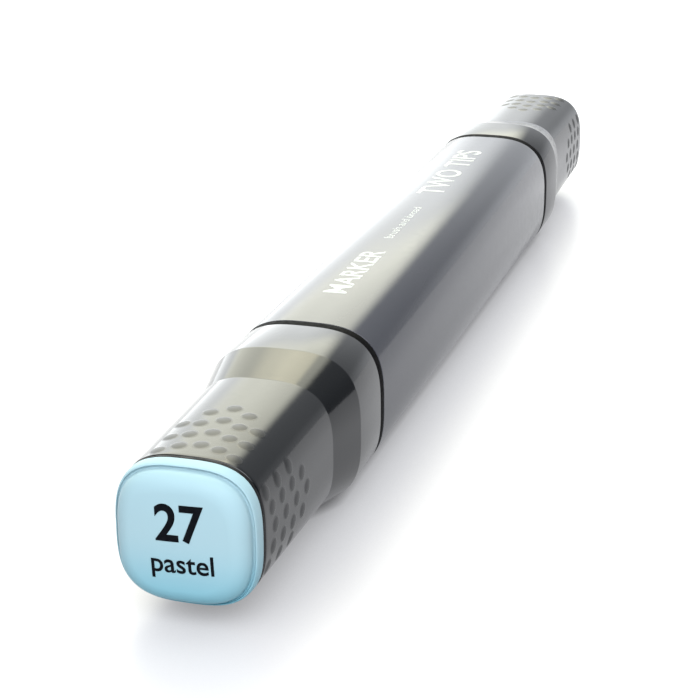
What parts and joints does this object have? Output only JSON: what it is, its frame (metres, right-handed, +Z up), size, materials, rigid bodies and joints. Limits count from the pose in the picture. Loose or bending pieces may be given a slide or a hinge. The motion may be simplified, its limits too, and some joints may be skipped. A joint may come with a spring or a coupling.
{
  "type": "felt tip marker",
  "caption": "Twin-tip felt marker with a rounded-square barrel, a pull-off cap on the brush tip and on the broad tip, and a pale blue end plug.",
  "frame": {"origin": "centre of the marker's length and width, on the surface that it lies on", "axes": "+X along the marker from the brush end to the broad end, +Y across it, +Z up out of the flat side that it lies on"},
  "size_m": [0.1446, 0.0156, 0.0156],
  "materials": {
    "grey_plastic": "polished moulded plastic in a dark grey that mirrors its surroundings, with a fine matt texture on the raised dots",
    "black_plastic": "fine matt moulded plastic",
    "seal_plastic": "smooth soft moulded plastic",
    "blue_plastic": "satin moulded plastic in pale blue",
    "reservoir_fibre": "bonded fibre soaked with pale blue ink",
    "clear_film": "thin clear film",
    "nib_fibre": "felt fibre stained with pale blue ink"
  },
  "bodies": {
    "barrel": {"barrel_shell": "grey_plastic", "ink_reservoir": "reservoir_fibre", "reservoir_film": "clear_film", "brush_nib_holder": "black_plastic", "brush_nib": "nib_fibre", "broad_nib_holder": "black_plastic", "broad_nib": "nib_fibre"},
    "brush_cap": {"brush_cap_shell": "grey_plastic", "brush_inner_cap": "seal_plastic", "brush_cap_plug": "blue_plastic"},
    "broad_cap": {"broad_cap_shell": "grey_plastic", "broad_inner_cap": "seal_plastic", "broad_cap_chip": "blue_plastic"}
  },
  "joints": [
    {"name": "brush_cap_pull", "type": "slide", "parent": "barrel", "child": "brush_cap", "axis": [-1, 0, 0], "range_m": [0, 0.045]},
    {"name": "broad_cap_pull", "type": "slide", "parent": "barrel", "child": "broad_cap", "axis": [1, 0, 0], "range_m": [0, 0.045]}
  ]
}
